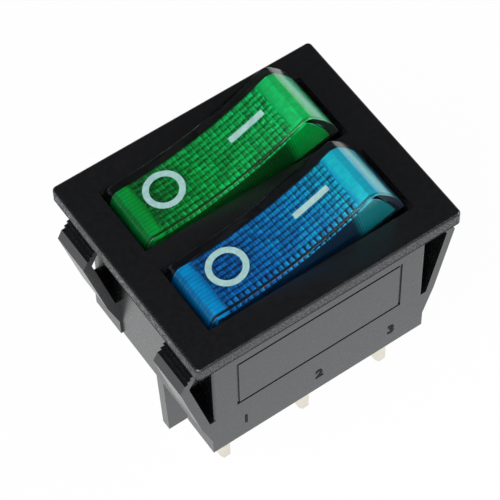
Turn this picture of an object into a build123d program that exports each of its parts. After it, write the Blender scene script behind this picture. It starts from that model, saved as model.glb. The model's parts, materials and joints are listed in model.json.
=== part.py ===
from build123d import *
from math import asin, cos, degrees, pi, radians, sin, sqrt, tan
import os

os.makedirs("parts", exist_ok=True)

# Twin illuminated snap-in rocker switch, in millimetres.
# Origin: centre of the bezel's underside, which seats on the panel. +Z points out of the panel,
# X runs along the rockers with the I end at +X, and Y runs across the two poles.

# Bezel, body and wells of the housing
bezel_length = 31.0
bezel_width = 25.5
bezel_thickness = 1.7
bezel_corner_radius = 0.5
bezel_edge_fillet = 0.3
body_length = 25.6
body_width = 21.8
body_depth = 19.6
body_corner_radius = 0.3
floor_thickness = 2.0
pole_spacing = 10.8
window_length = 24.0
window_width = 8.3
bearing_depth = 0.8

# Barrier rib between the two rows of terminals
barrier_thickness = 1.2
barrier_reach = 11.6
barrier_length = 25.0
barrier_taper = 0.35

# Snap arms at the four corners
arm_width = 4.7
arm_thickness = 1.0
arm_reach = 3.6
elbow_depth = 4.3
elbow_land = 1.1
slit_depth = 13.4
slit_root_width = 0.5
arm_foot_step = 0.25
arm_foot_height = 2.3
catch_steps = 5
catch_step_in = 0.34
catch_step_up = 0.5
catch_tip_thickness = 0.6

# Plain frame engraved on the terminal-number side
label_length = 20.0
label_height = 7.8
label_centre_depth = 8.9
label_groove_width = 0.3
label_groove_depth = 0.15

# Rocker lens
rocker_width = 7.6
rocker_end_radius = 11.6
rocker_ridge_x = 9.25
rocker_dish_depth = 1.15
rocker_ridge_radius = 0.7
rocker_edge_chamfer = 0.2
lens_wall = 1.0
lens_skin = 1.2
lens_lobe_radius = 2.4
skirt_height = 1.0
prism_pitch = 0.7
prism_depth = 0.35
pivot_depth = 1.8
rest_tilt = 15.5
stop_clearance = 0.05
stop_overlap = 0.8

# Rocker carrier
pin_radius = 1.2
pin_clearance = 0.05
pin_end_gap = 0.15
deck_height = 0.9
deck_thickness = 0.8
socket_width = 4.6
socket_length = 5.0
socket_depth = 7.0
cradle_thickness = 0.7
carrier_clearance = 0.05

# Plunger and its spring
plunger_radius = 1.5
plunger_clearance = 0.08
plunger_engagement = 2.5
plunger_cup_depth = 4.2
plunger_cup_wall = 0.45
lever_clearance = 0.05
plunger_spring_wire = 0.3
plunger_spring_turns = 3

# Contact lever
lever_thickness = 0.8
lever_width = 6.0
lever_swing = 7.75
lever_rise = 5.0
lever_flat = 1.0
lever_contact_arm = 9.2
lever_stop_arm = 8.0
contact_arm_x = 8.0
contact_radius = 1.3
contact_height = 0.7
rivet_radius = 0.7
rivet_clearance = 0.05

# Blade terminals
blade_thickness = 0.8
blade_width = 6.3
blade_wall_gap = 0.2
blade_reach = 8.4
blade_tip_chamfer = 0.7
blade_hole_radius = 0.8
blade_hole_inset = 3.2
blade_fit = 0.05
bend_radius = 0.3
foot_length = 3.0
horn_width = 0.65
horn_rise = 0.8
saddle_clearance = 0.05
lamp_pad_depth = 9.0
lamp_pad_length = 3.2

# Lamp, resistor and lamp spring
lamp_radius = 1.5
lamp_length = 5.4
lamp_inner_x = 2.2
resistor_radius = 0.95
resistor_length = 4.6
resistor_inner_x = 3.2
envelope_chamfer = 0.35
lead_radius = 0.2
lead_root = 0.4
lead_offset = 1.25
lead_hole_clearance = 0.15
lead_overhang = 0.8
lamp_rest_gap = 0.05
lamp_spring_x = 8.0
lamp_spring_radius = 0.9
lamp_spring_wire = 0.3
lamp_spring_turns = 3
wire_facets = 3
lead_facets = 4
spring_seat_gap = 0.1

poles = {"green": pole_spacing / 2, "blue": -pole_spacing / 2}

# Places worked out from the sizes above
pivot_z = -pivot_depth
tilt = radians(rest_tilt)
swing = radians(lever_swing)
rise = radians(lever_rise)
body_end = body_length / 2
floor_z = -body_depth + floor_thickness
ridge_z = sqrt(rocker_end_radius**2 - rocker_ridge_x**2)
dish_radius = (rocker_ridge_x**2 + rocker_dish_depth**2) / (2 * rocker_dish_depth)
dish_centre = ridge_z - rocker_dish_depth + dish_radius
skirt_x = sqrt(rocker_end_radius**2 - skirt_height**2)
inner_end_radius = rocker_end_radius - lens_wall
inner_width = rocker_width - 2 * lens_wall
ledge_z = pivot_z - skirt_x * sin(tilt) + skirt_height * cos(tilt) - stop_clearance
ledge_x = skirt_x * cos(tilt) + skirt_height * sin(tilt) - stop_overlap
blade_pitch = ledge_x - blade_wall_gap - blade_thickness / 2
deck_top = deck_height + deck_thickness
lead_height = deck_top + lamp_rest_gap + lamp_radius
lead_drop_x = (lamp_spring_x + deck_height * sin(tilt)) / cos(tilt)
foot_top = floor_z + blade_thickness
blade_tip = -body_depth - blade_reach

# The moving contact's lowest corner when the lever is closed, below the lever's axis
saddle_radius = blade_thickness / 2
lever_underside = saddle_radius + saddle_clearance
arm_under = lever_underside + (contact_arm_x - lever_flat) * tan(rise)
closed_slope = swing - rise
contact_drop = (
    contact_arm_x * sin(swing)
    - arm_under * cos(swing)
    + contact_height * cos(closed_slope)
    + contact_radius * sin(closed_slope)
)
lever_axis_z = foot_top + contact_height + lever_clearance + contact_drop
lever_top = lever_axis_z + lever_underside + lever_thickness
plunger_tip = pivot_z - lever_top - lever_clearance

# The end of the lever's free arm at rest, where the housing's post stops it
stop_under = lever_underside + (lever_stop_arm - lever_flat) * tan(rise)
post_x = lever_stop_arm * cos(swing) + stop_under * sin(swing)
post_top = lever_axis_z - lever_stop_arm * sin(swing) + stop_under * cos(swing) - lever_clearance
post_thickness = blade_thickness


def rocker_side(pole_y):
    """Plane of the rocker's side view at rest, with its origin on the pivot axis."""
    return Plane(
        origin=(0, pole_y, pivot_z), x_dir=(cos(tilt), 0, sin(tilt)), z_dir=(0, -1, 0)
    )


def rocker_level(pole_y, height):
    """Plane square to the plunger, at a height above the pivot axis."""
    side = rocker_side(pole_y)
    return Plane(origin=side.from_local_coords((0, height, 0)), x_dir=side.x_dir, z_dir=side.y_dir)


def rocker_end(pole_y, along):
    """Plane square to the rocker's length, at a distance along it from the pivot axis."""
    side = rocker_side(pole_y)
    return Plane(
        origin=side.from_local_coords((along, lead_height, 0)), x_dir=(0, 1, 0), z_dir=side.x_dir
    )


def lever_side(pole_y):
    """Plane of the lever's side view at rest, with its origin on the rocking axis."""
    return Plane(
        origin=(0, pole_y, lever_axis_z), x_dir=(cos(swing), 0, -sin(swing)), z_dir=(0, -1, 0)
    )


def save(part, name):
    part.label = name
    export_step(part, f"parts/{name}.step")


def bent_strip(points, thickness, side, radius=bend_radius):
    """Face of a bent sheet, drawn from one skin of the sheet."""
    with BuildLine() as skin:
        FilletPolyline(*points, radius=radius)
        offset(skin.line, thickness, side=side)
    make_face(skin.edges())


# --- Housing -----------------------------------------------------------------------------------
elbow = (body_end + arm_reach, -elbow_depth)
shoulder = (elbow[0] - elbow_land / 2, -elbow_depth + elbow_land)
arm_root_x = body_end + slit_root_width + arm_thickness
arm_slope = (elbow[0] - arm_root_x) / (slit_depth - elbow_depth)
foot_x = body_end + arm_foot_step
knee_z = -body_depth + arm_foot_height

arm_outline = [
    (body_end - arm_thickness, -body_depth),
    (foot_x, -body_depth),
    (foot_x, knee_z),
    (arm_root_x, -slit_depth),
    elbow,
    shoulder,
]
for step in range(catch_steps):
    step_x = shoulder[0] - (step + 1) * catch_step_in
    arm_outline.append((step_x, shoulder[1] + step * catch_step_up))
    arm_outline.append((step_x, shoulder[1] + (step + 1) * catch_step_up))
tip_x, tip_z = arm_outline[-1]
arm_outline += [
    (tip_x - catch_tip_thickness, tip_z),
    (shoulder[0] - arm_thickness, shoulder[1]),
    (elbow[0] - arm_thickness, elbow[1]),
    (body_end + slit_root_width, -slit_depth),
    (body_end - arm_thickness, -slit_depth),
]

with BuildPart() as housing:
    # Snap arms: one stepped catch, repeated at the four corners
    with BuildSketch(Plane.XZ.offset(-body_width / 2)):
        with BuildLine():
            Polyline(*arm_outline, close=True)
        make_face()
    extrude(amount=arm_width)
    mirror(about=Plane.XZ)
    mirror(about=Plane.YZ)

    # Body and bezel
    with BuildSketch():
        RectangleRounded(body_length, body_width, body_corner_radius)
    extrude(amount=-body_depth)
    with BuildSketch():
        RectangleRounded(bezel_length, bezel_width, bezel_corner_radius)
    extrude(amount=bezel_thickness)
    fillet(housing.faces().sort_by(Axis.Z)[-1].edges(), bezel_edge_fillet)

    # Barrier rib under the base
    with BuildSketch(Plane.XZ):
        with BuildLine():
            Polyline(
                (-barrier_length / 2, -body_depth + floor_thickness / 2),
                (barrier_length / 2, -body_depth + floor_thickness / 2),
                (barrier_length / 2 - barrier_taper, -body_depth - barrier_reach),
                (-barrier_length / 2 + barrier_taper, -body_depth - barrier_reach),
                close=True,
            )
        make_face()
    extrude(amount=barrier_thickness / 2, both=True)

    # Wells: wide at the top, stepped in below the ledges that stop the rockers
    with BuildSketch(Plane.XY.offset(bezel_thickness)):
        with Locations(*[(0, pole_y) for pole_y in poles.values()]):
            Rectangle(window_length, window_width)
    extrude(amount=-(bezel_thickness - ledge_z), mode=Mode.SUBTRACT)
    with BuildSketch(Plane.XY.offset(ledge_z)):
        with Locations(*[(0, pole_y) for pole_y in poles.values()]):
            Rectangle(2 * ledge_x, window_width)
    extrude(amount=-(ledge_z - floor_z), mode=Mode.SUBTRACT)

    # Blind bearings for the pivot pins
    for pole_y in poles.values():
        with BuildSketch(Plane.XZ.offset(-pole_y)):
            with Locations((0, pivot_z)):
                Circle(pin_radius + pin_clearance)
        extrude(amount=window_width / 2 + bearing_depth, both=True, mode=Mode.SUBTRACT)

    # Slots for the terminals and the posts that stop the levers
    with BuildSketch(Plane.XY.offset(floor_z)):
        for pole_y in poles.values():
            with Locations((0, pole_y)):
                with GridLocations(blade_pitch, 0, 3, 1):
                    Rectangle(blade_thickness + 2 * blade_fit, blade_width + 2 * blade_fit)
    extrude(amount=-floor_thickness, mode=Mode.SUBTRACT)
    with BuildSketch(Plane.XY.offset(floor_z)):
        with Locations(*[(bend_radius - blade_pitch, pole_y) for pole_y in poles.values()]):
            Rectangle(blade_thickness + 2 * blade_fit, blade_width + 2 * blade_fit)
    extrude(amount=-bend_radius - blade_fit, mode=Mode.SUBTRACT)
    with BuildSketch(Plane.XY.offset(floor_z)):
        with Locations(*[(post_x - post_thickness / 2, pole_y) for pole_y in poles.values()]):
            Rectangle(post_thickness, lever_width)
    extrude(amount=post_top - floor_z)

    # Engraved frame
    with BuildSketch(Plane.XZ.offset(body_width / 2)):
        with Locations((0, -label_centre_depth)):
            Rectangle(label_length, label_height)
            Rectangle(
                label_length - 2 * label_groove_width,
                label_height - 2 * label_groove_width,
                mode=Mode.SUBTRACT,
            )
    extrude(amount=-label_groove_depth, mode=Mode.SUBTRACT)
save(housing.part, "housing")


# --- Rocker ------------------------------------------------------------------------------------
def rocker_lens(pole_y):
    side = rocker_side(pole_y)
    inner_skirt_x = sqrt(inner_end_radius**2 - skirt_height**2)
    roof_radius = dish_radius + lens_skin
    roof_z = (dish_centre**2 + inner_end_radius**2 - roof_radius**2) / (2 * dish_centre)
    roof_x = sqrt(inner_end_radius**2 - roof_z**2)
    with BuildPart() as lens:
        # Outer form: round ends about the pivot and a dished top between two ridges
        with BuildSketch(side):
            with BuildLine():
                Polyline((-skirt_x, skirt_height), (skirt_x, skirt_height))
                RadiusArc((skirt_x, skirt_height), (rocker_ridge_x, ridge_z), -rocker_end_radius)
                ThreePointArc(
                    (rocker_ridge_x, ridge_z),
                    (0, dish_centre - dish_radius),
                    (-rocker_ridge_x, ridge_z),
                )
                RadiusArc((-rocker_ridge_x, ridge_z), (-skirt_x, skirt_height), -rocker_end_radius)
            make_face()
            fillet(vertices().group_by(Axis.Y)[-1], rocker_ridge_radius)
        extrude(amount=rocker_width / 2, both=True)
        rim = lens.edges().filter_by(GeomType.CIRCLE).filter_by(
            lambda edge: side.to_local_coords(edge.center()).Y > ridge_z / 2
        )
        chamfer(rim, rocker_edge_chamfer)

        # Lobes that hang down the sides and clip over the pivot pins
        with BuildSketch(side):
            Circle(lens_lobe_radius)
            with Locations((0, skirt_height / 2 + lens_lobe_radius / 2)):
                Rectangle(2 * lens_lobe_radius, skirt_height + lens_lobe_radius)
        extrude(amount=rocker_width / 2, both=True)

        # Hollow, open downwards
        with BuildSketch(side):
            with BuildLine():
                Polyline(
                    (-inner_skirt_x, skirt_height),
                    (-inner_skirt_x, -lens_lobe_radius),
                    (inner_skirt_x, -lens_lobe_radius),
                    (inner_skirt_x, skirt_height),
                )
                RadiusArc((inner_skirt_x, skirt_height), (roof_x, roof_z), -inner_end_radius)
                ThreePointArc(
                    (roof_x, roof_z), (0, dish_centre - roof_radius), (-roof_x, roof_z)
                )
                RadiusArc((-roof_x, roof_z), (-inner_skirt_x, skirt_height), -inner_end_radius)
            make_face()
        extrude(amount=inner_width / 2, both=True, mode=Mode.SUBTRACT)

        # Prism grooves along the roof of the hollow
        span = asin((roof_x - prism_depth) / roof_radius)
        dish_axis = side.from_local_coords((0, dish_centre, 0))
        down = side.from_local_coords((sin(span), dish_centre - cos(span), 0)) - dish_axis
        start = Plane(origin=dish_axis, x_dir=(0, 1, 0), z_dir=Vector(0, 1, 0).cross(down))
        grooves = int(inner_width / prism_pitch)
        with BuildSketch(start):
            with Locations((0, roof_radius)):
                with GridLocations(prism_pitch, 0, grooves, 1):
                    Polygon(
                        (-prism_pitch / 2, 0),
                        (prism_pitch / 2, 0),
                        (0, -prism_depth),
                        align=None,
                    )
        revolve(
            axis=Axis(dish_axis, (0, 1, 0)),
            revolution_arc=2 * degrees(span),
            mode=Mode.SUBTRACT,
        )

        # Holes for the pivot pins
        with BuildSketch(side):
            Circle(pin_radius + pin_clearance)
        extrude(amount=rocker_width / 2, both=True, mode=Mode.SUBTRACT)
    return lens.part


def rocker_carrier(pole_y):
    side = rocker_side(pole_y)
    frame_width = inner_width - 2 * carrier_clearance
    deck_x = sqrt(inner_end_radius**2 - deck_top**2) - 4 * carrier_clearance
    pin_reach = window_width / 2 + bearing_depth - pin_end_gap
    cradles = [
        (lamp_inner_x + lamp_length / 5, lamp_radius),
        (lamp_inner_x + lamp_length * 4 / 5, lamp_radius),
        (-resistor_inner_x - resistor_length / 5, resistor_radius),
        (-resistor_inner_x - resistor_length * 4 / 5, resistor_radius),
    ]
    with BuildPart() as carrier:
        # Deck, hub and plunger socket
        with BuildSketch(side):
            with Locations((0, deck_height + deck_thickness / 2)):
                Rectangle(2 * deck_x, deck_thickness)
            Circle(lens_lobe_radius)
            with Locations((0, -socket_depth / 2)):
                Rectangle(socket_width, socket_depth)
            for cradle_x, seat_radius in cradles:
                with Locations((cradle_x, (deck_top + lead_height - lead_offset / 2) / 2)):
                    Rectangle(cradle_thickness, lead_height - lead_offset / 2 - deck_top)
        extrude(amount=frame_width / 2, both=True)

        # Pivot pins
        with BuildSketch(side):
            Circle(pin_radius)
        extrude(amount=pin_reach, both=True)

        # Seats of the lamp and of the resistor
        for cradle_x, seat_radius in cradles:
            with BuildSketch(rocker_end(pole_y, cradle_x - cradle_thickness)):
                Circle(seat_radius + lamp_rest_gap)
            extrude(amount=2 * cradle_thickness, mode=Mode.SUBTRACT)

        # Bore for the plunger, and the holes that the leads pass through
        with BuildSketch(rocker_level(pole_y, -socket_depth)):
            Circle(plunger_radius + plunger_clearance)
        extrude(amount=socket_depth + deck_height, mode=Mode.SUBTRACT)
        with BuildSketch(rocker_level(pole_y, deck_height - deck_thickness)):
            with Locations((lead_drop_x, 0), (0, 0)):
                Circle(lead_radius + lead_hole_clearance)
        extrude(amount=lens_lobe_radius + deck_thickness, mode=Mode.SUBTRACT)
    return carrier.part


def plunger(pole_y):
    top = -socket_depth + plunger_engagement
    bevel_height = -plunger_tip + plunger_radius
    with BuildPart() as pusher:
        with BuildSketch(rocker_level(pole_y, bevel_height)):
            Circle(plunger_radius)
        extrude(amount=top - bevel_height)
        with BuildSketch(rocker_side(pole_y)):
            with BuildLine():
                Polyline(
                    (0, bevel_height),
                    *[
                        (plunger_radius * cos(turn), bevel_height - plunger_radius * sin(turn))
                        for turn in (0, pi / 4, pi / 2)
                    ],
                    close=True,
                )
            make_face()
        revolve(axis=Axis(rocker_side(pole_y).origin, rocker_side(pole_y).y_dir))
        with BuildSketch(rocker_level(pole_y, top)):
            Circle(plunger_radius - plunger_cup_wall)
        extrude(amount=-plunger_cup_depth, mode=Mode.SUBTRACT)
    return pusher.part


def coil_spring(foot, wire_radius, coil_radius, length, turns):
    """Spring of faceted wire standing on a plane."""
    rise_per_spring = length - 2 * wire_radius
    with BuildPart() as spring:
        with BuildLine():
            coil = Helix(
                pitch=rise_per_spring / turns,
                height=rise_per_spring,
                radius=coil_radius,
                center=foot.origin + foot.z_dir * wire_radius,
                direction=foot.z_dir,
            )
        with BuildSketch(Plane(origin=coil @ 0, z_dir=coil % 0)):
            RegularPolygon(wire_radius, wire_facets)
        sweep(path=coil, is_frenet=True)
    return spring.part


def plunger_spring(pole_y):
    seat = -socket_depth + plunger_engagement - plunger_cup_depth
    coil_radius = plunger_radius - plunger_cup_wall - plunger_spring_wire
    foot = rocker_level(pole_y, seat + spring_seat_gap)
    length = deck_height - seat - 2 * spring_seat_gap
    return coil_spring(foot, plunger_spring_wire / 2, coil_radius, length, plunger_spring_turns)


# --- Lamp and resistor -------------------------------------------------------------------------
def lead(path_plane, points):
    """Faceted lead wire along a path of straight runs, added to the part being built."""
    with BuildLine(path_plane) as path:
        Polyline(*points)
    with BuildSketch(Plane(origin=path.line @ 0, z_dir=path.line % 0)) as section:
        RegularPolygon(lead_radius, lead_facets)
    sweep(section.sketch, path=path.line, transition=Transition.RIGHT)


def neon_lamp(pole_y):
    side = rocker_side(pole_y)
    outer_x = lamp_inner_x + lamp_length
    return_x = -resistor_inner_x - resistor_length - lead_overhang
    with BuildPart() as lamp:
        with BuildSketch(rocker_end(pole_y, lamp_inner_x)):
            Circle(lamp_radius)
        extrude(amount=lamp_length)
        chamfer(lamp.edges().filter_by(GeomType.CIRCLE), envelope_chamfer)
        lead(
            side,
            [(outer_x - lead_root, lead_height), (lead_drop_x, lead_height), (lead_drop_x, deck_height)],
        )
        lead(
            rocker_level(pole_y, lead_height),
            [(lamp_inner_x + lead_root, lead_offset), (return_x, lead_offset), (return_x, 0)],
        )
    return lamp.part


def lamp_resistor(pole_y):
    outer_x = -resistor_inner_x - resistor_length
    with BuildPart() as resistor:
        with BuildSketch(rocker_end(pole_y, outer_x)):
            Circle(resistor_radius)
        extrude(amount=resistor_length)
        with BuildSketch(rocker_end(pole_y, outer_x - lead_overhang + lead_radius + blade_fit)):
            RegularPolygon(lead_radius, lead_facets)
        extrude(amount=lead_overhang)
        lead(
            rocker_side(pole_y),
            [(-resistor_inner_x - lead_root, lead_height), (0, lead_height), (0, deck_height)],
        )
    return resistor.part


def lamp_spring(pole_y):
    """Spring from the lamp terminal's pad up to the underside of the carrier's deck."""
    inner_edge = lamp_spring_x - lamp_spring_radius - lamp_spring_wire / 2
    top_z = pivot_z + deck_height / cos(tilt) + inner_edge * tan(tilt)
    foot = Plane(origin=(lamp_spring_x, pole_y, -lamp_pad_depth + spring_seat_gap / 2))
    length = top_z + lamp_pad_depth - spring_seat_gap
    return coil_spring(foot, lamp_spring_wire / 2, lamp_spring_radius, length, lamp_spring_turns)


# --- Contact lever -----------------------------------------------------------------------------
def contact_lever(pole_y):
    side = lever_side(pole_y)
    contact_end = (
        -lever_contact_arm,
        lever_underside + (lever_contact_arm - lever_flat) * tan(rise),
    )
    stop_end = (lever_stop_arm, stop_under)
    notch_x = saddle_radius + (lever_underside + lever_thickness) * sin(swing) + saddle_clearance
    notch_y = blade_width / 2 - horn_width - saddle_clearance
    with BuildPart() as lever:
        # Shallow V of sheet metal: a flat middle on the saddle and two arms that rise from it
        with BuildSketch(side):
            bent_strip(
                [contact_end, (-lever_flat, lever_underside), (lever_flat, lever_underside), stop_end],
                lever_thickness,
                Side.LEFT,
            )
        extrude(amount=lever_width / 2, both=True)

        # Notches in both edges for the saddle's horns
        with BuildSketch(Plane(origin=side.origin, z_dir=side.y_dir, x_dir=side.x_dir)):
            for edge in (1, -1):
                with Locations((0, edge * (notch_y + lever_width / 2))):
                    Rectangle(2 * notch_x, lever_width)
        extrude(amount=2 * lever_thickness + lever_underside, mode=Mode.SUBTRACT)

        # Hole for the contact rivet
        with BuildSketch(contact_level(pole_y, 0)):
            Circle(rivet_radius + rivet_clearance)
        extrude(amount=lever_thickness, mode=Mode.SUBTRACT)
    return lever.part


def contact_level(pole_y, height):
    """Plane square to the contact rivet, at a height above the contact arm's underside."""
    side = lever_side(pole_y)
    arm_x_dir = side.x_dir * cos(rise) - side.y_dir * sin(rise)
    arm_z_dir = side.y_dir * cos(rise) + side.x_dir * sin(rise)
    foot = side.from_local_coords((-contact_arm_x, arm_under, 0))
    return Plane(origin=foot + arm_z_dir * height, x_dir=arm_x_dir, z_dir=arm_z_dir)


def moving_contact(pole_y):
    with BuildPart() as rivet:
        with BuildSketch(contact_level(pole_y, 0)):
            Circle(contact_radius)
        extrude(amount=-contact_height)
        with BuildSketch(contact_level(pole_y, 0)):
            Circle(rivet_radius)
        extrude(amount=lever_thickness)
        with BuildSketch(contact_level(pole_y, lever_thickness)):
            Circle(contact_radius)
        extrude(amount=contact_height / 2)
    return rivet.part


# --- Terminals ---------------------------------------------------------------------------------
def blade_outline(blade_x, pole_y, top_z):
    """Flat blade from its chamfered tip up to a height, in the part being built."""
    with BuildSketch(Plane.YZ.offset(blade_x - blade_thickness / 2)) as outline:
        with Locations((pole_y, (top_z + blade_tip) / 2)):
            Rectangle(blade_width, top_z - blade_tip)
        chamfer(outline.vertices().group_by(Axis.Y)[0], blade_tip_chamfer)
        with Locations((pole_y, blade_tip + blade_hole_inset)):
            Circle(blade_hole_radius, mode=Mode.SUBTRACT)
    extrude(outline.sketch, amount=blade_thickness)


def foot_outline(blade_x, pole_y, foot_z, length):
    """Bent-over end of a blade, towards the middle of the switch."""
    inward = -1 if blade_x > 0 else 1
    outer_x = blade_x - inward * blade_thickness / 2
    with BuildSketch(Plane.XZ.offset(-pole_y)) as profile:
        bent_strip(
            [
                (outer_x, foot_z - 2 * blade_thickness),
                (outer_x, foot_z),
                (outer_x + inward * (blade_thickness + length), foot_z),
            ],
            blade_thickness,
            Side.RIGHT if inward > 0 else Side.LEFT,
            bend_radius + blade_thickness,
        )
    extrude(profile.sketch, amount=blade_width / 2, both=True)


def supply_terminal(pole_y):
    with BuildPart() as terminal:
        blade_outline(-blade_pitch, pole_y, foot_top - 2 * blade_thickness)
        foot_outline(-blade_pitch, pole_y, foot_top, foot_length)
    return terminal.part


def lamp_terminal(pole_y):
    with BuildPart() as terminal:
        blade_outline(blade_pitch, pole_y, -lamp_pad_depth - 2 * blade_thickness)
        foot_outline(blade_pitch, pole_y, -lamp_pad_depth, lamp_pad_length)
    return terminal.part


def load_terminal(pole_y):
    horn_top = lever_top + horn_rise
    with BuildPart() as terminal:
        blade_outline(0, pole_y, horn_top)
        with BuildSketch(Plane.YZ):
            with Locations((pole_y, (lever_axis_z + horn_top) / 2)):
                Rectangle(blade_width - 2 * horn_width, horn_top - lever_axis_z)
        extrude(amount=blade_thickness, both=True, mode=Mode.SUBTRACT)
        with BuildSketch(Plane.XZ.offset(-pole_y)):
            with Locations((0, lever_axis_z)):
                Circle(saddle_radius)
        extrude(amount=blade_width / 2, both=True)
    return terminal.part


def fixed_contact(pole_y):
    contact_x = -contact_arm_x * cos(swing) - arm_under * sin(swing)
    with BuildPart() as contact:
        with BuildSketch(Plane.XY.offset(foot_top)):
            with Locations((contact_x, pole_y)):
                Circle(contact_radius)
        extrude(amount=contact_height)
    return contact.part


pieces = {
    "rocker_lens": rocker_lens,
    "rocker_carrier": rocker_carrier,
    "plunger": plunger,
    "plunger_spring": plunger_spring,
    "neon_lamp": neon_lamp,
    "lamp_resistor": lamp_resistor,
    "lamp_spring": lamp_spring,
    "contact_lever": contact_lever,
    "moving_contact": moving_contact,
    "supply_terminal": supply_terminal,
    "load_terminal": load_terminal,
    "lamp_terminal": lamp_terminal,
    "fixed_contact": fixed_contact,
}
for colour, pole_y in poles.items():
    for piece_name, make_piece in pieces.items():
        save(make_piece(pole_y), f"{colour}_{piece_name}")
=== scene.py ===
import json
from math import asin, cos, pi, radians, sin, sqrt

import bmesh
import bpy
from mathutils import Matrix, Vector


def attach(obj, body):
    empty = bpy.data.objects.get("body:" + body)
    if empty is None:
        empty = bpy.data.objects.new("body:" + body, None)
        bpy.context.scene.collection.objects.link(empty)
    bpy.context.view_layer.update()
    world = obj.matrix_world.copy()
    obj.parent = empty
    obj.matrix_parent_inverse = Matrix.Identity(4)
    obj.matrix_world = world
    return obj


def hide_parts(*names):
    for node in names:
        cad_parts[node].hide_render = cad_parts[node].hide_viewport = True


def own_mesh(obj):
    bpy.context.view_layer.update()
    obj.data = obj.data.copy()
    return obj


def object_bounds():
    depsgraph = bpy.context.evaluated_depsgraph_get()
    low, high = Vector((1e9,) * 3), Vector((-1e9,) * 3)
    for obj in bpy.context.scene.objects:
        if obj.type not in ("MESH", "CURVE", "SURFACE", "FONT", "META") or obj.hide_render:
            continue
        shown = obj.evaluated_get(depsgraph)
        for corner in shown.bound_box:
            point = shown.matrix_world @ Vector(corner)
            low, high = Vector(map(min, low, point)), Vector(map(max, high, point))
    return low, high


MM = 0.001

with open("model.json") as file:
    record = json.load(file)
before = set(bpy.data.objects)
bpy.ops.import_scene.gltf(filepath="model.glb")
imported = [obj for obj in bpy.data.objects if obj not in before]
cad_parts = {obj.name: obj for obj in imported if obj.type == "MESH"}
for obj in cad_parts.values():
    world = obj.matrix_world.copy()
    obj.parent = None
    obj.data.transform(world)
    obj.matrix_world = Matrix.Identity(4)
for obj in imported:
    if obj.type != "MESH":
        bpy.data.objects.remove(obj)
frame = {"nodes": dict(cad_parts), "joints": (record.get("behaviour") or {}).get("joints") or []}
cad_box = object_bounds()
joints = {joint["name"]: joint for joint in frame["joints"]}
poles = ("green", "blue")

# Sizes are in millimetres. Those of a lens are in its rocker's own axes: x along the rocker, z
# square to it, origin on its pivot.
rocker_width = 7.6
end_radius = 11.9
ridge_x = 9.6
ridge_radius = 1.05
dish_depth = 1.38
rim_radius = 0.12
skirt_height = 1.0
end_wall = 1.0
side_wall = 0.7
lens_skin = 1.1
arch_radius = 1.3
shade_width = 0.6

# Prisms under the lens's roof: cells that bulge upward, between furrows
prism_pitch = 0.66
prism_columns = 24
prism_rows = 10
row_furrow = 0.14
column_furrow = 0.08
pillow_power = 4

# Steps of the meshes along each form
cell_steps = 6
nose_steps = 24
ridge_steps = 8
dish_steps = 108
rim_steps = 4
wall_steps = 12
arch_steps = 8
shade_steps = 16
ring_steps = 64
bar_steps = 12
corner_steps = 6
sharp_angle = radians(30)

# Printed marks on the rockers
mark_stroke = 0.65
mark_shift = 0.2
ring_x = -5.45
ring_diameter = 4.25
bar_start = 2.5
bar_length = 4.25
ink_thickness = 0.03
ink_lift = 0.01

# Share of its length that each spring keeps at its joint's far limit
lamp_spring_keep = 0.47
plunger_spring_keep = 0.88

# Terminal numbers on the body's side, and a painted shadow line round the foot of the bezel's edge
body_width = 21.8
bezel_length = 31.0
bezel_width = 25.5
bezel_corner_radius = 0.5
numeral_size = 2.0
numeral_pitch = 9.0
numeral_z = -16.75
numeral_relief = 0.05
numeral_thickening = 0.04
shadow_band_height = 0.14
shadow_band_relief = 0.01

half_width = rocker_width / 2
inner_half = half_width - side_wall
ridge_z = sqrt(end_radius**2 - ridge_x**2)
dish_radius = (ridge_x**2 + dish_depth**2) / (2 * dish_depth)
dish_centre = ridge_z - dish_depth + dish_radius
grid_x = prism_columns * prism_pitch / 2
row_pitch = 2 * inner_half / prism_rows

# At rest the rockers lie half of their travel off level
rest_tilt = radians(joints["green_rocker_tilt"]["range_deg"][1] / 2)

# Slots of a lens's materials
clear_slot, roof_slot, near_slot, far_slot, shade_slot = range(5)


# --- Building materials --------------------------------------------------------------------------
noise_detail = 3.0
noise_range = (0.3, 0.7)  # what most of a noise lies between
spot_to_grain = 4  # size of a plastic's spots of colour, in sizes of its grain


def new_material(name, **values):
    """A Principled material with fixed values, and its shader."""
    material = bpy.data.materials.new(name)
    material.use_nodes = True
    shader = material.node_tree.nodes["Principled BSDF"]
    for key, value in values.items():
        shader.inputs[key.replace("_", " ").title().replace("Ior", "IOR")].default_value = value
    return material, shader


def add(owner, kind, **values):
    """A new node for a material or the world."""
    node = owner.node_tree.nodes.new(kind)
    for key, value in values.items():
        setattr(node, key, value)
    return node


def link(owner, source, target):
    owner.node_tree.links.new(source, target)


def calc(material, operation, first, second=0.0):
    """Result of an operation on sockets or numbers."""
    node = add(material, "ShaderNodeMath", operation=operation)
    for socket, value in zip(node.inputs, (first, second)):
        if isinstance(value, float):
            socket.default_value = value
        else:
            link(material, value, socket)
    return node.outputs[0]


def product(material, result, *factors):
    for factor in factors:
        result = calc(material, "MULTIPLY", result, factor)
    return result


def fade(material, value, start, end, low, high):
    """Smooth change from low to high as a value goes from start to end."""
    span = add(material, "ShaderNodeMapRange", interpolation_type="SMOOTHSTEP")
    for key, number in (("From Min", start), ("From Max", end), ("To Min", low), ("To Max", high)):
        span.inputs[key].default_value = number
    link(material, value, span.inputs["Value"])
    return span.outputs["Result"]


def ramp(owner, value, stops):
    """Colour that runs through stops, each a position between 0 and 1 and its colour."""
    node = add(owner, "ShaderNodeValToRGB")
    elements = node.color_ramp.elements
    for element, (position, colour) in zip(elements[:], (stops[0], stops[-1])):
        element.position = position
        element.color = (*colour, 1)
    for position, colour in stops[1:-1]:
        elements.new(position).color = (*colour, 1)
    link(owner, value, node.inputs["Fac"])
    return node.outputs["Color"]


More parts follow.
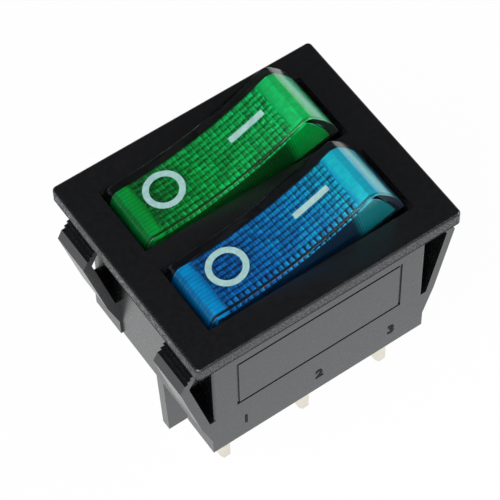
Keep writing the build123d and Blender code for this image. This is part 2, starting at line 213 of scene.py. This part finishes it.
def axes(owner, vector):
    """The X, Y and Z of a vector."""
    split = add(owner, "ShaderNodeSeparateXYZ")
    link(owner, vector, split.inputs["Vector"])
    return split.outputs


def part_place(material):
    """A point's place in the part's own frame, in metres."""
    return add(material, "ShaderNodeTexCoord").outputs["Object"]


def part_noise(material, size):
    """Noise in the part's own frame, with spots of about this size."""
    noise = add(material, "ShaderNodeTexNoise")
    noise.inputs["Scale"].default_value = 1 / (size * MM)
    noise.inputs["Detail"].default_value = noise_detail
    link(material, part_place(material), noise.inputs["Vector"])
    return noise.outputs["Fac"]


def vary(material, shader, colour, spread, size):
    """Base colour that wanders by this share of itself, over spots of this size."""
    shares = (1 - spread, 1 + spread)
    stops = [(at, [c * share for c in colour]) for at, share in zip(noise_range, shares)]
    varied = ramp(material, part_noise(material, size), stops)
    link(material, varied, shader.inputs["Base Color"])


def emboss(material, shader, height, depth):
    """Bump from a height between 0 and 1, this deep at most."""
    bump = add(material, "ShaderNodeBump")
    bump.inputs["Distance"].default_value = depth * MM
    link(material, height, bump.inputs["Height"])
    link(material, bump.outputs["Normal"], shader.inputs["Normal"])


def plastic(name, colour, roughness, grain_size, grain_depth, spread=0.15):
    material, shader = new_material(name, roughness=roughness)
    vary(material, shader, colour, spread, spot_to_grain * grain_size)
    emboss(material, shader, part_noise(material, grain_size), grain_depth)
    return material


def metal(name, colour, roughness, spread=0.08, spot_size=1.2, grain_size=0.25, grain_depth=0.004):
    material, shader = new_material(name, roughness=roughness, metallic=1.0)
    vary(material, shader, colour, spread, spot_size)
    emboss(material, shader, part_noise(material, grain_size), grain_depth)
    return material


def tinted_clear(name, tint, density):
    """Clear moulded plastic or glass that colours the light by the depth it passes through."""
    material, shader = new_material(
        name, roughness=0.2, ior=1.585, transmission_weight=1.0, base_color=(1, 1, 1, 1)
    )
    volume = add(material, "ShaderNodeVolumeAbsorption")
    volume.inputs["Color"].default_value = (*tint, 1)
    volume.inputs["Density"].default_value = density / MM
    output = material.node_tree.nodes["Material Output"]
    link(material, volume.outputs["Volume"], output.inputs["Volume"])
    return material


# --- Housing's material --------------------------------------------------------------------------
# The bezel's texture sets in over the first heights, and its coarse edge ends over the second
texture_heights = (-0.1, 0.0)
edge_heights = (1.35, 1.6)
body_texture = 0.12
nylon_colour = (0.0055, 0.0055, 0.006)
nylon_spread, nylon_spot_size = 0.3, 0.6
nylon_roughness = 0.26
speck_size = 0.22
speck_range = (0.42, 0.58)
speck_roughness = 0.5
spark_size, spark_depth = 0.2, 0.035


def housing_plastic():
    """Black nylon: spark-textured on the bezel, speckled on its edge and smoother on the body."""
    material, shader = new_material(
        "black_nylon", specular_ior_level=0.95, specular_tint=(0.92, 0.96, 1.0, 1)
    )
    vary(material, shader, nylon_colour, nylon_spread, nylon_spot_size)
    z = axes(material, part_place(material))["Z"]
    texture = fade(material, z, *[height * MM for height in texture_heights], body_texture, 1.0)
    edge = fade(material, z, *[height * MM for height in edge_heights], 1.0, 0.0)
    edge = product(material, edge, texture)
    specks = fade(material, part_noise(material, speck_size), *speck_range, 0.0, speck_roughness)
    roughness = calc(material, "ADD", product(material, specks, edge), nylon_roughness)
    link(material, roughness, shader.inputs["Roughness"])
    coarseness = calc(material, "ADD", edge, 1.0)
    sparks = product(material, part_noise(material, spark_size), texture, coarseness)
    emboss(material, shader, sparks, spark_depth)
    return material


# --- Lens's inner faces --------------------------------------------------------------------------
# A shading has the two values where a change starts and ends, then what it changes from and to; a
# span has only the first two. On a prism the values are shares of a cell, along it from the O end
# or across it from the near side.
# Painted light and shade over each prism: painted shade in the furrows along its far side and at
# its O end, a painted glint towards its I end with a painted dark stroke after it, and painted
# dark spots in the row along the near side
furrow_shade_span, furrow_crest = (0.58, 0.85), 0.85
notch_shade_span, notch_shade_lift = (0.0, 0.22), 0.14
glint_shading = (0.66, 0.82, 1.0, 2.2)
lapse_shading = (0.9, 1.0, 1.0, 0.35)
spot_shade_span = (0.2, 0.5)
past_near_row = (0.95, 1.05, 0.0, 1.0)
cell_cast = (0.75, 1.25)
prism_mottle_size, prism_mottle = 0.3, (0.65, 1.35)
core_mottle_size, core_mottle = 0.5, (0.92, 1.1)

# Fine ribs, upright on the side walls and across the roof's plain borders, drawn as painted
# stripes of light and shade
rib_pitch = 0.27
rib_shading = (-1.0, 1.0, -0.4, 0.3)
rib_fade = (7.0, 7.6, 1.0, 0.15)
border_rib_pitch = 0.42
border_rib_fade = (-9.0, 9.0, 0.15, 0.03)


def rocker_place(material, pole):
    """The X, Y and Z of a point in the rocker's own axes, in millimetres."""
    own_axes = add(material, "ShaderNodeMapping", vector_type="TEXTURE")
    own_axes.inputs["Location"].default_value = joints[f"{pole}_rocker_tilt"]["pos_m"]
    own_axes.inputs["Rotation"].default_value = (0, -rest_tilt, 0)
    own_axes.inputs["Scale"].default_value = (MM, MM, MM)
    link(material, part_place(material), own_axes.inputs["Vector"])
    return axes(material, own_axes.outputs["Vector"])


def along_rocker(material, place, stops):
    """Colour that runs through stops, each a distance along the rocker and its colour."""
    span = add(material, "ShaderNodeMapRange")
    span.inputs["From Min"].default_value = -end_radius
    span.inputs["From Max"].default_value = end_radius
    link(material, place["X"], span.inputs["Value"])
    shares = [((x + end_radius) / (2 * end_radius), colour) for x, colour in stops]
    return ramp(material, span.outputs["Result"], shares)


def wave(material, value, pitch):
    return calc(material, "SINE", calc(material, "MULTIPLY", value, 2 * pi / pitch))


def ribs(material, place):
    """Painted light and shade of the ribs along a side wall, which fade near its I end."""
    rib = fade(material, wave(material, place["X"], rib_pitch), *rib_shading)
    shown = fade(material, place["X"], *rib_fade)
    return calc(material, "ADD", product(material, rib, shown), 1.0)


def border(material, place):
    """Painted light and shade of the roof's borders, whose ribs are fainter at the I end."""
    rib = wave(material, place["Y"], border_rib_pitch)
    shown = fade(material, place["X"], *border_rib_fade)
    return calc(material, "ADD", product(material, rib, shown), 1.0)


def prisms(material, place, furrow_shade_level, spot_shade_level):
    """Painted light and shade over each prism: painted shade along its far side and at its O end,
    a painted glint towards its I end with a painted dark stroke after it, and painted dark spots
    in the near row.
    """
    column = calc(material, "DIVIDE", calc(material, "ADD", place["X"], grid_x), prism_pitch)
    row = calc(material, "DIVIDE", calc(material, "ADD", place["Y"], inner_half), row_pitch)
    across, along = calc(material, "FRACT", row), calc(material, "FRACT", column)
    furrow_shade = fade(material, across, *furrow_shade_span, furrow_crest, furrow_shade_level)
    notch_shade = fade(material, along, *notch_shade_span, notch_shade_lift + furrow_shade_level, 1.0)
    glint = fade(material, along, *glint_shading)
    lapse = fade(material, along, *lapse_shading)
    spot = fade(material, along, *spot_shade_span, spot_shade_level, 1.0)
    spot = calc(material, "MAXIMUM", spot, fade(material, row, *past_near_row))
    cell = add(material, "ShaderNodeCombineXYZ")
    link(material, calc(material, "FLOOR", column), cell.inputs["X"])
    link(material, calc(material, "FLOOR", row), cell.inputs["Y"])
    chance = add(material, "ShaderNodeTexWhiteNoise", noise_dimensions="2D")
    link(material, cell.outputs["Vector"], chance.inputs["Vector"])
    cast = fade(material, chance.outputs["Value"], 0.0, 1.0, *cell_cast)
    noise = part_noise(material, prism_mottle_size)
    mottle = fade(material, noise, *noise_range, *prism_mottle)
    return product(material, furrow_shade, notch_shade, glint, lapse, spot, cast, mottle)


def cells(furrow_shade_level, spot_shade_level):
    """Roof shading of painted light and shade, whose painted shade in the furrows, and painted
    dark spots in the row along the near side, are this bright.
    """

    def pattern(material, place):
        choose = add(material, "ShaderNodeMix")
        distance = calc(material, "ABSOLUTE", place["X"])
        link(material, calc(material, "GREATER_THAN", distance, grid_x), choose.inputs["Factor"])
        link(material, prisms(material, place, furrow_shade_level, spot_shade_level), choose.inputs["A"])
        link(material, border(material, place), choose.inputs["B"])
        return choose.outputs["Result"]

    return pattern


def core(name, pole, stops, pattern):
    """Inner face of a lens, coloured by its tint with painted light and shade along the rocker and
    over its face.
    """
    material, shader = new_material(name, roughness=0.3, specular_ior_level=0.15)
    place = rocker_place(material, pole)
    noise = part_noise(material, core_mottle_size)
    mottle = fade(material, noise, *noise_range, *core_mottle)
    brightness = product(material, pattern(material, place), mottle)
    tint = add(material, "ShaderNodeVectorMath", operation="SCALE")
    link(material, along_rocker(material, place, stops), tint.inputs[0])
    link(material, brightness, tint.inputs["Scale"])
    limit = add(material, "ShaderNodeVectorMath", operation="MINIMUM")
    limit.inputs[1].default_value = (1, 1, 1)
    link(material, tint.outputs["Vector"], limit.inputs[0])
    link(material, limit.outputs["Vector"], shader.inputs["Base Color"])
    return material


# Colours at distances along the rocker from its pivot, from the O end to the I end: the lens's
# tint with painted light and shade. The roof is painted dark on the O end's wall, which sits down
# in the housing's window, grows brighter towards the I end and carries a pale painted highlight
# over the I end's nose. The near side is painted dark with a painted bright quarter at its I end,
# and the far side is painted dark grey for the shade seen through its clear wall.
green_roof_tint_and_painted_light = [
    (-10.8, (0.0, 0.02, 0.005)),
    (-9.9, (0.0, 0.07, 0.015)),
    (-9.45, (0.0, 0.3, 0.05)),
    (-9.2, (0.0, 0.42, 0.07)),
    (-8.4, (0.0, 0.5, 0.06)),
    (-7.6, (0.0, 0.28, 0.045)),
    (-2.0, (0.0, 0.6, 0.1)),
    (4.5, (0.0, 0.65, 0.14)),
    (8.0, (0.0, 0.72, 0.17)),
    (8.6, (0.01, 0.86, 0.24)),
    (9.6, (0.01, 0.86, 0.2)),
    (9.9, (0.14, 1.0, 0.6)),
    (10.5, (0.12, 1.0, 0.55)),
    (10.75, (0.0, 0.25, 0.08)),
]
blue_roof_tint_and_painted_light = [
    (-10.8, (0.0, 0.015, 0.05)),
    (-9.9, (0.0, 0.06, 0.18)),
    (-9.45, (0.0, 0.28, 0.7)),
    (-9.2, (0.0, 0.4, 0.9)),
    (-8.4, (0.0, 0.42, 0.95)),
    (-7.6, (0.0, 0.18, 0.62)),
    (-2.0, (0.0, 0.26, 0.8)),
    (4.5, (0.0, 0.42, 1.0)),
    (8.0, (0.0, 0.6, 1.0)),
    (8.6, (0.01, 0.85, 1.0)),
    (9.2, (0.01, 0.8, 1.0)),
    (9.6, (0.01, 0.68, 1.0)),
    (9.9, (0.12, 0.95, 1.0)),
    (10.4, (0.1, 0.85, 1.0)),
    (10.6, (0.0, 0.12, 0.25)),
]
green_side_tint_and_painted_light = [(-9.0, (0.0, 0.16, 0.02)), (6.5, (0.0, 0.12, 0.015)), (7.3, (0.0, 0.6, 0.09))]
blue_side_tint_and_painted_light = [(-9.0, (0.0, 0.04, 0.12)), (6.5, (0.0, 0.03, 0.07)), (7.3, (0.0, 0.3, 0.34))]
green_far_side_painted_shade = [(0, (0.07, 0.085, 0.09))]
blue_far_side_painted_shade = [(0, (0.06, 0.08, 0.1))]


# --- The part's materials ------------------------------------------------------------------------
def lens_layers(pole, tint, roof_tint_and_painted_light, prism_shade_levels, side_tint_and_painted_light, far_side_painted_shade, end_painted_shade_colour):
    """Materials of a lens in the order of its slots."""
    return [
        tinted_clear(f"{pole}_polycarbonate", tint, density=0.03),
        core(f"{pole}_roof", pole, roof_tint_and_painted_light, cells(*prism_shade_levels)),
        core(f"{pole}_side", pole, side_tint_and_painted_light, ribs),
        core(f"{pole}_far_side", pole, far_side_painted_shade, ribs),
        # Painted shade: the dark crescent at the I end's edge and the dark foot of the lens
        plastic(
            f"{pole}_end_shade", end_painted_shade_colour, roughness=0.5, grain_size=0.6, grain_depth=0.003
        ),
    ]


# Colours of each lens, with painted light and shade on its inner faces and painted shade on its
# far side and end crescent
lens_materials = {
    "green": lens_layers(
        "green",
        tint=(0.5, 0.95, 0.6),
        roof_tint_and_painted_light=green_roof_tint_and_painted_light,
        prism_shade_levels=(0.36, 0.6),
        side_tint_and_painted_light=green_side_tint_and_painted_light,
        far_side_painted_shade=green_far_side_painted_shade,
        end_painted_shade_colour=(0.001, 0.008, 0.003),
    ),
    "blue": lens_layers(
        "blue",
        tint=(0.5, 0.85, 0.98),
        roof_tint_and_painted_light=blue_roof_tint_and_painted_light,
        prism_shade_levels=(0.16, 0.1),
        side_tint_and_painted_light=blue_side_tint_and_painted_light,
        far_side_painted_shade=blue_far_side_painted_shade,
        end_painted_shade_colour=(0.001, 0.006, 0.02),
    ),
}

# Plastics have a colour, a roughness, a grain size and depth, and some a spread of their colour
black_nylon = housing_plastic()
# Near-black matte plastic for the terminal numbers and for the painted shadow band at the foot of
# the bezel's edge
shade = plastic("shadow_black", (0.002, 0.002, 0.002), 0.9, 0.2, 0.005)
carrier_black = plastic("carrier_black", (0.012, 0.012, 0.012), 0.5, 0.2, 0.01)
acetal = plastic("acetal", (0.75, 0.75, 0.7), 0.4, 0.3, 0.005, 0.03)
ceramic = plastic("resistor_lacquer", (0.5, 0.36, 0.2), 0.35, 0.3, 0.005, 0.1)
ink = plastic("mark_ink", (0.34, 0.56, 0.54), 0.5, 0.12, 0.01, 0.12)
glass = tinted_clear("lamp_glass", (0.95, 0.9, 0.85), density=0.05)

# Metals have a colour and a roughness
tinned = metal("tinned_brass", (0.78, 0.74, 0.64), 0.28)
spring_steel = metal("spring_steel", (0.28, 0.28, 0.3), 0.5)
copper = metal("contact_copper", (0.8, 0.45, 0.3), 0.3)
silver = metal("contact_silver", (0.85, 0.85, 0.83), 0.25)

node_materials = {
    "rocker_carrier": carrier_black,
    "plunger": acetal,
    "plunger_spring": spring_steel,
    "neon_lamp": glass,
    "lamp_resistor": ceramic,
    "lamp_spring": spring_steel,
    "contact_lever": copper,
    "moving_contact": silver,
    "fixed_contact": silver,
    "supply_terminal": tinned,
    "load_terminal": tinned,
    "lamp_terminal": tinned,
}


def dress(obj, material):
    obj.data.materials.clear()
    obj.data.materials.append(material)


dress(frame["nodes"]["housing"], black_nylon)
for pole in poles:
    for piece, material in node_materials.items():
        dress(frame["nodes"][f"{pole}_{piece}"], material)


# --- Building pieces -----------------------------------------------------------------------------
def add_face(shape, corners, slot=0):
    shape.faces.new(corners).material_index = slot


def add_strip(shape, first, second, slot=0, closed=False):
    """Faces between two rows of vertices, each joined end to end if they are closed."""
    if closed:
        first, second = first + first[:1], second + second[:1]
    for corners in zip(first, first[1:], second[1:], second):
        add_face(shape, corners, slot)


def finished_mesh(name, shape, matrix):
    """Mesh of a closed shape, moved by a matrix into the part's frame."""
    bmesh.ops.recalc_face_normals(shape, faces=shape.faces[:])
    shape.transform(matrix)
    mesh = bpy.data.meshes.new(name)
    shape.to_mesh(mesh)
    shape.free()
    return mesh


def new_object(name, data):
    obj = bpy.data.objects.new(name, data)
    bpy.context.scene.collection.objects.link(obj)
    return obj


def new_piece(name, mesh, materials, body):
    """Smooth piece with sharp edges, which moves with a body."""
    piece = new_object(name, mesh)
    for material in materials:
        mesh.materials.append(material)
    mesh.shade_smooth()
    mesh.set_sharp_from_angle(angle=sharp_angle)
    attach(piece, body)
    return piece


# --- Rocker lenses -------------------------------------------------------------------------------
def to_rest(pole):
    """Matrix from the rocker's own axes, in millimetres, to the part's frame at rest."""
    pivot = Vector(joints[f"{pole}_rocker_tilt"]["pos_m"])
    return Matrix.Translation(pivot) @ Matrix.Rotation(-rest_tilt, 4, "Y") @ Matrix.Scale(MM, 4)


def dish(x):
    """Height of the lens's top."""
    return dish_centre - sqrt(dish_radius**2 - x**2)


def roof(x):
    """Height of the hollow under the dish, without its prisms."""
    return dish_centre - sqrt((dish_radius + lens_skin) ** 2 - x**2)


def meeting_height(end_reach, dish_reach):
    """Height where a circle round the pivot meets one round the dish's centre."""
    return (end_reach**2 - dish_reach**2 + dish_centre**2) / (2 * dish_centre)


def arc(centre, radius, start, end, steps):
    """Points of an arc in the x-z plane, each with its normal away from the centre."""
    turns = [start + (end - start) * step / steps for step in range(steps + 1)]
    normals = [Vector((cos(turn), sin(turn))) for turn in turns]
    places = [
        Vector((centre[0] + radius * cos(turn), centre[1] + radius * sin(turn))) for turn in turns
    ]
    return list(zip(places, normals))


def outer_outline():
    """Side view from the I end's skirt over the top to the O end's skirt, with outward normals."""
    end_reach = end_radius - ridge_radius
    dish_reach = dish_radius + ridge_radius
    ridge_centre_z = meeting_height(end_reach, dish_reach)
    ridge_centre_x = sqrt(end_reach**2 - ridge_centre_z**2)
    ridge_centre = (ridge_centre_x, ridge_centre_z)
    end_turn = asin(ridge_centre_z / end_reach)
    dish_turn = asin(ridge_centre_x / dish_reach)
    nose = arc((0, 0), end_radius, asin(skirt_height / end_radius), end_turn, nose_steps)
    ridge = arc(ridge_centre, ridge_radius, end_turn, pi / 2 + dish_turn, ridge_steps)
    top = arc((0, dish_centre), dish_radius, dish_turn - pi / 2, -dish_turn - pi / 2, dish_steps)
    i_end = nose + ridge[1:]
    o_end = [(Vector((-p.x, p.y)), Vector((-n.x, n.y))) for p, n in reversed(i_end)]
    return i_end + [(point, -normal) for point, normal in top[1:-1]] + o_end


def pillow(x_step, y_step):
    """Rise of a cell at a step of the grid; the furrows along the rocker are the deeper ones."""
    across = 1 - abs(2 * (y_step % cell_steps) / cell_steps - 1) ** pillow_power
    along = 1 - abs(2 * (x_step % cell_steps) / cell_steps - 1) ** pillow_power
    return row_furrow * across + column_furrow * across * along


def outer_skin(shape):
    """Rows of vertices over the outside, rounded over along both long rims, near side first."""
    quarter = [pi / 2 * step / rim_steps for step in range(rim_steps + 1)]
    sections = [
        (-half_width + rim_radius * (1 - cos(turn)), rim_radius * (1 - sin(turn)))
        for turn in quarter
    ]
    sections += [(-y, drop) for y, drop in reversed(sections)]
    outline = outer_outline()
    rows = [
        [shape.verts.new((p.x - n.x * drop, y, p.y - n.y * drop)) for p, n in outline]
        for y, drop in sections
    ]
    for row, following in zip(rows, rows[1:]):
        add_strip(shape, row, following)
    return rows


def end_walls(shape):
    """Inner end walls with the roof's plain borders: near and far edge at the I and the O end."""
    radius = end_radius - end_wall
    roof_turn = asin(meeting_height(radius, dish_radius + lens_skin) / radius)
    wall = arc((0, 0), radius, asin(skirt_height / radius), roof_turn, wall_steps)
    border_x = grid_x + prism_pitch / 2
    profile = [(point.x, point.y) for point, _ in wall] + [(border_x, roof(border_x))]
    ends = []
    for way in (1, -1):
        near, far = (
            [shape.verts.new((way * x, y, z)) for x, z in profile]
            for y in (-inner_half, inner_half)
        )
        add_strip(shape, near, far, roof_slot)
        ends.append((near, far))
    return ends


def prism_roof(shape, ends):
    """Lines of vertices across the roof, from the I end, with a pillow to each cell."""
    lines = []
    for x_step in range(prism_columns * cell_steps + 1):
        x = grid_x - x_step * prism_pitch / cell_steps
        line = []
        for y_step in range(prism_rows * cell_steps + 1):
            y = -inner_half + y_step * row_pitch / cell_steps
            line.append(shape.verts.new((x, y, roof(x) + pillow(x_step, y_step))))
        lines.append(line)
    for line, following in zip(lines, lines[1:]):
        add_strip(shape, line, following, roof_slot)
    for (near, far), line in zip(ends, (lines[0], lines[-1])):
        add_face(shape, [near[-1], *line, far[-1]], roof_slot)
    return lines


def side_walls(shape, rows, ends, lines):
    """Side walls arched over the pivot pins, a crescent of painted shade at the I end's edge, and
    the skirt's foot, painted dark as well.
    """
    arch_turn = asin(skirt_height / arch_radius)
    arch = arc((0, 0), arch_radius, pi - arch_turn, arch_turn, arch_steps)
    shade_radius = end_radius - shade_width
    shade_start, shade_end = asin(skirt_height / shade_radius), asin(ridge_z / end_radius)
    shade_arc = arc((0, 0), shade_radius, shade_start, shade_end, shade_steps)
    for edge, way, slot in ((0, -1, near_slot), (-1, 1, far_slot)):
        row, right, left = rows[edge], ends[0][edge], ends[1][edge]
        outer, inner = (
            [shape.verts.new((point.x, way * y, point.y)) for point, _ in arch]
            for y in (half_width, inner_half)
        )
        shade_rim = [
            shape.verts.new((point.x, way * half_width, point.y)) for point, _ in shade_arc
        ]
        add_face(shape, [*row[: nose_steps + 1], *reversed(shade_rim)], shade_slot)
        add_face(shape, [*shade_rim, *row[nose_steps:], *outer], clear_slot)
        roof_edge = [line[edge] for line in lines]
        add_face(shape, [*right, *roof_edge, *reversed(left), *inner], slot)
        add_strip(shape, [row[-1], *outer], [left[0], *inner], shade_slot)
        add_face(shape, [outer[-1], shade_rim[0], row[0], right[0], inner[-1]], shade_slot)
    for (near, far), spot in zip(ends, (0, -1)):
        add_face(shape, [*[row[spot] for row in rows], far[0], near[0]], shade_slot)


def lens_mesh(pole):
    """Closed mesh of a lens, whose outside is clear, whose inner faces carry the tint with painted
    light and shade, and whose end crescents and foot are painted shade.
    """
    shape = bmesh.new()
    rows = outer_skin(shape)
    ends = end_walls(shape)
    lines = prism_roof(shape, ends)
    side_walls(shape, rows, ends, lines)
    bmesh.ops.triangulate(shape, faces=[face for face in shape.faces if len(face.verts) > 4])
    return finished_mesh(f"{pole}_lens_clear", shape, to_rest(pole))


# --- Printed marks -------------------------------------------------------------------------------
def mark_mesh(pole, name, outlines, closed):
    """Thin mark on the dish between two rows of (x, y) points, each a loop if closed."""
    shape = bmesh.new()
    low, high = (
        [[shape.verts.new((x, y, dish(x) + height)) for x, y in row] for row in outlines]
        for height in (ink_lift, ink_lift + ink_thickness)
    )
    for first, second in (low, high, (low[0], high[0]), (low[1], high[1])):
        add_strip(shape, first, second, closed=closed)
    if not closed:
        for end in (0, -1):
            add_face(shape, (low[0][end], low[1][end], high[1][end], high[0][end]))
    return finished_mesh(f"{pole}_{name}", shape, to_rest(pole))


def circle(radius):
    turns = [2 * pi * step / ring_steps for step in range(ring_steps)]
    return [(ring_x + radius * cos(turn), mark_shift + radius * sin(turn)) for turn in turns]


def bar_side(way):
    y = mark_shift + way * mark_stroke / 2
    return [(bar_start + bar_length * step / bar_steps, y) for step in range(bar_steps + 1)]


ring_outlines = [circle(ring_diameter / 2), circle(ring_diameter / 2 - mark_stroke)]
bar_outlines = [bar_side(-1), bar_side(1)]
for pole in poles:
    lens = new_piece(
        f"{pole}_lens_clear", lens_mesh(pole), lens_materials[pole], f"{pole}_rocker"
    )
    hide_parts(f"{pole}_rocker_lens")
    ring = mark_mesh(pole, "off_ring", ring_outlines, closed=True)
    new_piece(f"{pole}_off_mark", ring, [ink], f"{pole}_rocker")
    bar = mark_mesh(pole, "bar", bar_outlines, closed=False)
    new_piece(f"{pole}_on_mark", bar, [ink], f"{pole}_rocker")


# --- Springs -------------------------------------------------------------------------------------
# The CAD springs keep their rest length; these copies of them each move with one body
for pole in poles:
    slide = joints[f"{pole}_plunger_slide"]["axis"]
    for spring, body, joint, axis, fixed_end, keep in (
        ("lamp", "base", "rocker_tilt", (0, 0, 1), 0, lamp_spring_keep),
        ("plunger", f"{pole}_rocker", "plunger_slide", slide, 1, plunger_spring_keep),
    ):
        node = f"{pole}_{spring}_spring"
        coil = new_piece(f"{pole}_{spring}_coil", frame["nodes"][node].data.copy(), [], body)
        dress(coil, spring_steel)
        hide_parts(node)
        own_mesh(coil)


# --- Terminal numbers and the painted shadow line at the bezel -----------------------------------
for number, x in ((1, -numeral_pitch), (2, 0), (3, numeral_pitch)):
    text = bpy.data.curves.new(f"terminal_number_{number}", "FONT")
    text.body = str(number)
    text.size = numeral_size * MM
    text.align_x = text.align_y = "CENTER"
    text.extrude = numeral_relief * MM / 2
    text.offset = numeral_thickening * MM
    text.materials.append(shade)
    numeral = new_object(text.name, text)
    numeral.location = (x * MM, -(body_width + numeral_relief) / 2 * MM, numeral_z * MM)
    numeral.rotation_euler = (radians(90), 0, 0)
    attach(numeral, "base")


def bezel_loop(relief):
    """Points round the bezel's outline, this far outside it."""
    loop = []
    radius = bezel_corner_radius + relief
    for quarter, (i, j) in enumerate(((1, 1), (-1, 1), (-1, -1), (1, -1))):
        centre_x = i * (bezel_length / 2 - bezel_corner_radius)
        centre_y = j * (bezel_width / 2 - bezel_corner_radius)
        for step in range(corner_steps + 1):
            turn = (quarter + step / corner_steps) * pi / 2
            loop.append((centre_x + radius * cos(turn), centre_y + radius * sin(turn)))
    return loop


def seam_mesh():
    """Thin closed band of painted shadow round the foot of the bezel's edge."""
    shape = bmesh.new()
    loops = [
        [shape.verts.new((x, y, z)) for x, y in bezel_loop(relief)]
        for relief, z in ((0, 0), (shadow_band_relief, 0), (shadow_band_relief, shadow_band_height), (0, shadow_band_height))
    ]
    for loop, following in zip(loops, loops[1:] + loops[:1]):
        add_strip(shape, loop, following, closed=True)
    return finished_mesh("bezel_shadow_band", shape, Matrix.Scale(MM, 4))


new_piece("bezel_shadow_band", seam_mesh(), [shade], "base")


# --- Floor and background ------------------------------------------------------------------------
floor_half_metres = 1.5
floor_colour = (0.85, 0.85, 0.85, 1)
floor_roughness = 0.9
floor_glow = 0.97  # share of plain white in what the camera, reflections and clear parts see
dusk_stops = [(0.0, (0.85, 0.93, 1.0)), (0.18, (0.055, 0.055, 0.057))]

floor_z = cad_box[0].z
corners = [
    (x * floor_half_metres, y * floor_half_metres, floor_z)
    for x, y in ((-1, -1), (1, -1), (1, 1), (-1, 1))
]
floor_mesh = bpy.data.meshes.new("floor")
floor_mesh.from_pydata(corners, [], [(0, 1, 2, 3)])
floor = new_object("floor", floor_mesh)

floor_paper, floor_shader = new_material(
    "floor_paper", roughness=floor_roughness, base_color=floor_colour
)
path = add(floor_paper, "ShaderNodeLightPath").outputs
seen = calc(floor_paper, "MAXIMUM", path["Is Camera Ray"], path["Is Glossy Ray"])
seen = calc(floor_paper, "MAXIMUM", seen, path["Is Transmission Ray"])
white = add(floor_paper, "ShaderNodeEmission")
blend = add(floor_paper, "ShaderNodeMixShader")
output = floor_paper.node_tree.nodes["Material Output"]
link(floor_paper, product(floor_paper, seen, floor_glow), blend.inputs["Fac"])
link(floor_paper, floor_shader.outputs["BSDF"], blend.inputs[1])
link(floor_paper, white.outputs["Emission"], blend.inputs[2])
link(floor_paper, blend.outputs["Shader"], output.inputs["Surface"])
dress(floor, floor_paper)

world = bpy.data.worlds.new("studio")
bpy.context.scene.world = world
world.use_nodes = True
sky = world.node_tree.nodes["Background"]
sky.inputs["Strength"].default_value = 1.0
upward = axes(world, add(world, "ShaderNodeTexCoord").outputs["Generated"])["Z"]
link(world, ramp(world, upward, dusk_stops), sky.inputs["Color"])


# --- Lamps and camera ----------------------------------------------------------------------------
# Fitted to the corners of the bezel and body in the photograph, in degrees and millimetres
camera_azimuth = -33.44
camera_elevation = 57.57
camera_roll = -1.61
camera_distance = 237.7
camera_target = (-3.133, -3.521, 0)
camera_lens = 177.14
sensor_width = 36


def aim(obj, place, target):
    obj.location = place
    obj.rotation_euler = (Vector(target) - Vector(place)).to_track_quat("-Z", "Y").to_euler()


def softbox(name, direction, distance, size, radiance):
    """Square lamp that faces the part, with the brightness that a reflection of it shows."""
    light = bpy.data.lights.new(name, "AREA")
    light.size = size * MM
    light.energy = radiance * pi * light.size**2
    aim(new_object(name, light), Vector(direction).normalized() * distance * MM, (0, 0, 0))


for name, direction, distance, size, radiance in (
    ("key", (-0.62, -0.3, 0.72), 600, 500, 4.7),
    ("front", (-0.1, -0.8, 0.6), 700, 350, 2.8),
    ("right", (0.75, -0.45, 0.45), 600, 350, 4.3),
):
    softbox(name, direction, distance, size, radiance)

camera_data = bpy.data.cameras.new("camera")
camera_data.lens = camera_lens
camera_data.sensor_width = sensor_width
camera = new_object("camera", camera_data)
bpy.context.scene.camera = camera
azimuth, elevation = radians(camera_azimuth), radians(camera_elevation)
aim_point = Vector(camera_target) * MM
back = Vector((sin(azimuth) * cos(elevation), -cos(azimuth) * cos(elevation), sin(elevation)))
aim(camera, aim_point + back * camera_distance * MM, aim_point)
roll = Matrix.Rotation(radians(camera_roll), 3, "Z")
camera.rotation_euler = (camera.rotation_euler.to_matrix() @ roll).to_euler()

bpy.context.scene.view_settings.view_transform = "Standard"
